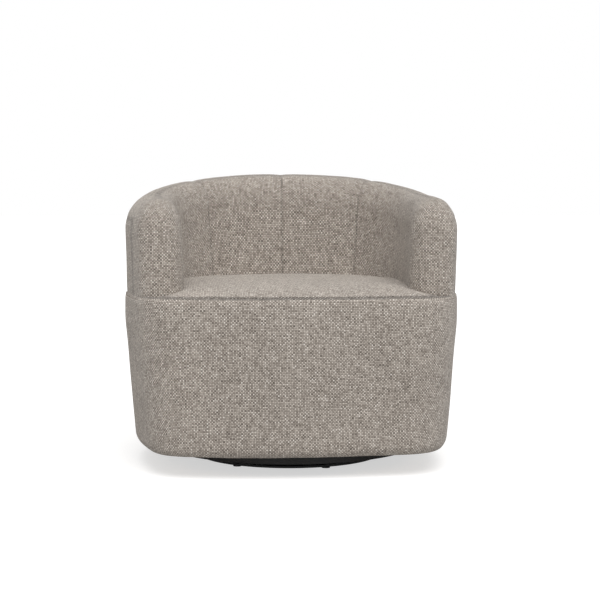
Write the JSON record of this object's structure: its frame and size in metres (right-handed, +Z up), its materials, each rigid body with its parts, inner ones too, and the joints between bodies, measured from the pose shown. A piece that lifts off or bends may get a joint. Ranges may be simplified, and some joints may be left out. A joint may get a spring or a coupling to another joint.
{
  "type": "swivel rocker",
  "caption": "Low upholstered barrel chair that turns on a hidden ball plate and rocks on sprung pivot pins, on a flat steel floor ring.",
  "frame": {"origin": "on the floor, on the swivel axis, at the middle of the chair's plan", "axes": "+X to the right as seen from the front, -Y the way the chair faces, +Z up"},
  "size_m": [0.805, 0.77, 0.6977],
  "materials": {
    "greige_weave": "matte",
    "cut_foam": "matte",
    "black_board": "matte",
    "plywood": "matte",
    "black_steel": "satin",
    "zinc_steel": "satin",
    "spring_steel": "satin",
    "white_nylon": "satin",
    "black_nylon": "matte"
  },
  "bodies": {
    "base": {"base_ring": "black_steel", "cross_plate": "black_steel", "glides": "black_nylon", "lower_race": "zinc_steel", "bearing_balls": "zinc_steel", "ball_cage": "white_nylon", "spindle": "zinc_steel", "spindle_washer": "zinc_steel", "spindle_nut": "zinc_steel", "cross_screws": "zinc_steel"},
    "swivel": {"upper_race": "zinc_steel", "spindle_bush": "white_nylon", "swivel_plate": "black_steel", "plate_screws": "zinc_steel", "left_yoke": "black_steel", "right_yoke": "black_steel", "pivot_pins": "zinc_steel", "pin_clips": "spring_steel", "lower_cups": "black_steel", "front_springs": "spring_steel", "back_springs": "spring_steel"},
    "seat": {"rocker_plate": "black_steel", "left_bracket": "black_steel", "right_bracket": "black_steel", "pivot_bushes": "white_nylon", "upper_cups": "black_steel", "rail_bolts": "zinc_steel", "rail_nuts": "zinc_steel", "mechanism_rails": "plywood", "rail_blocks": "plywood", "plinth_board": "black_board", "lower_frame": "plywood", "deck_board": "plywood", "posts": "plywood", "left_arm_board": "plywood", "right_arm_board": "plywood", "back_board": "plywood", "seat_springs": "spring_steel", "spring_clips": "black_nylon", "seat_foam": "cut_foam", "seat_cover": "greige_weave", "front_padding": "cut_foam", "rear_left_padding": "cut_foam", "rear_right_padding": "cut_foam", "front_cover": "greige_weave", "rear_left_cover": "greige_weave", "rear_right_cover": "greige_weave", "left_arm_foam": "cut_foam", "right_arm_foam": "cut_foam", "back_foam": "cut_foam", "left_arm_cover": "greige_weave", "right_arm_cover": "greige_weave", "back_left_cover": "greige_weave", "back_right_cover": "greige_weave"}
  },
  "joints": [
    {"name": "turn", "type": "hinge", "parent": "base", "child": "swivel", "pos_m": [0, 0, 0], "axis": [0, 0, 1], "continuous": true},
    {"name": "rock", "type": "hinge", "parent": "swivel", "child": "seat", "pos_m": [0, 0, 0.08], "axis": [1, 0, 0], "range_deg": [-4, 3], "stiffness_Nm_per_rad": 620, "springref_deg": 1.13, "deforming": ["front_springs", "back_springs"]}
  ]
}
